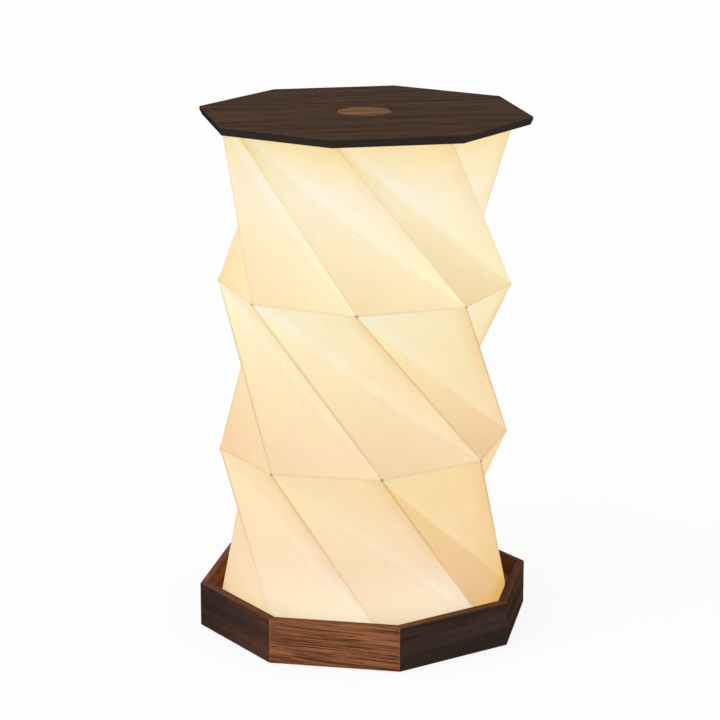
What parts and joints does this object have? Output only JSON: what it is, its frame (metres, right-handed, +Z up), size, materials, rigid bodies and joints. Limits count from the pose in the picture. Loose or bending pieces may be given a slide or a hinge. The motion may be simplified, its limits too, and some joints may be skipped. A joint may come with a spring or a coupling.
{
  "type": "folding table lamp",
  "caption": "Table lamp with an octagonal wooden tray and lid joined by a twisted folding paper shade, which collapses into the tray; a round push button sits in the lid.",
  "frame": {"origin": "on the table, under the middle of the tray, at the underside of the feet", "axes": "+Z up; -Y faces the front of the tray and +Y its charging slot"},
  "size_m": [0.1914, 0.1914, 0.3005],
  "materials": {
    "rim_wood": "oiled walnut, satin",
    "panel_wood": "oiled plywood, satin",
    "lid_wood": "oiled dark walnut, satin",
    "button_wood": "oiled walnut, satin",
    "shade_paper": "translucent folded paper, lit from inside",
    "foot_rubber": "matte",
    "grommet_rubber": "matte",
    "screw_steel": "zinc plated",
    "socket_steel": "plated shell",
    "white_plastic": "moulded, matte",
    "opal_plastic": "opal diffuser",
    "white_board": "white solder mask",
    "green_board": "green solder mask",
    "led_yellow": "phosphor",
    "cell_foil": "foil pouch",
    "foam_tape": "foam",
    "black_plastic": "moulded, matte"
  },
  "bodies": {
    "base": {"rim_stave_1": "rim_wood", "rim_stave_2": "rim_wood", "rim_stave_3": "rim_wood", "rim_stave_4": "rim_wood", "rim_stave_5": "rim_wood", "rim_stave_6": "rim_wood", "rim_stave_7": "rim_wood", "rim_stave_8": "rim_wood", "bottom_panel": "panel_wood", "feet": "foot_rubber", "bottom_screws": "screw_steel", "deck": "white_plastic", "led_board": "white_board", "led_chips": "led_yellow", "led_diffuser": "opal_plastic", "battery_pack": "cell_foil", "battery_tape": "foam_tape", "control_board": "green_board", "board_parts": "black_plastic", "board_screws": "screw_steel", "charge_socket": "socket_steel", "lead_grommet": "grommet_rubber"},
    "folds": {"shade": "shade_paper"},
    "lid": {"lid_plate": "lid_wood", "switch_pod": "black_plastic", "pod_screws": "screw_steel", "switch_board": "green_board", "tact_switch": "black_plastic"},
    "button": {"button_cap": "button_wood", "button_carrier": "black_plastic", "switch_plunger": "black_plastic"}
  },
  "joints": [
    {"name": "lift", "type": "slide", "parent": "base", "child": "folds", "axis": [0, 0, 1], "range_m": [-0.26869, 0], "deforming": ["shade"]},
    {"name": "twist", "type": "hinge", "parent": "folds", "child": "lid", "pos_m": [0, 0, 0.29569], "axis": [0, 0, 1], "range_deg": [-112.5, 0]},
    {"name": "press", "type": "slide", "parent": "lid", "child": "button", "axis": [0, 0, -1], "range_m": [0, 0.0008], "stiffness_N_per_m": 1500, "springref_m": -0.0006}
  ],
  "couplings": [
    {"joint": "twist", "follows": "lift", "rad_per_m": 7.3076}
  ]
}
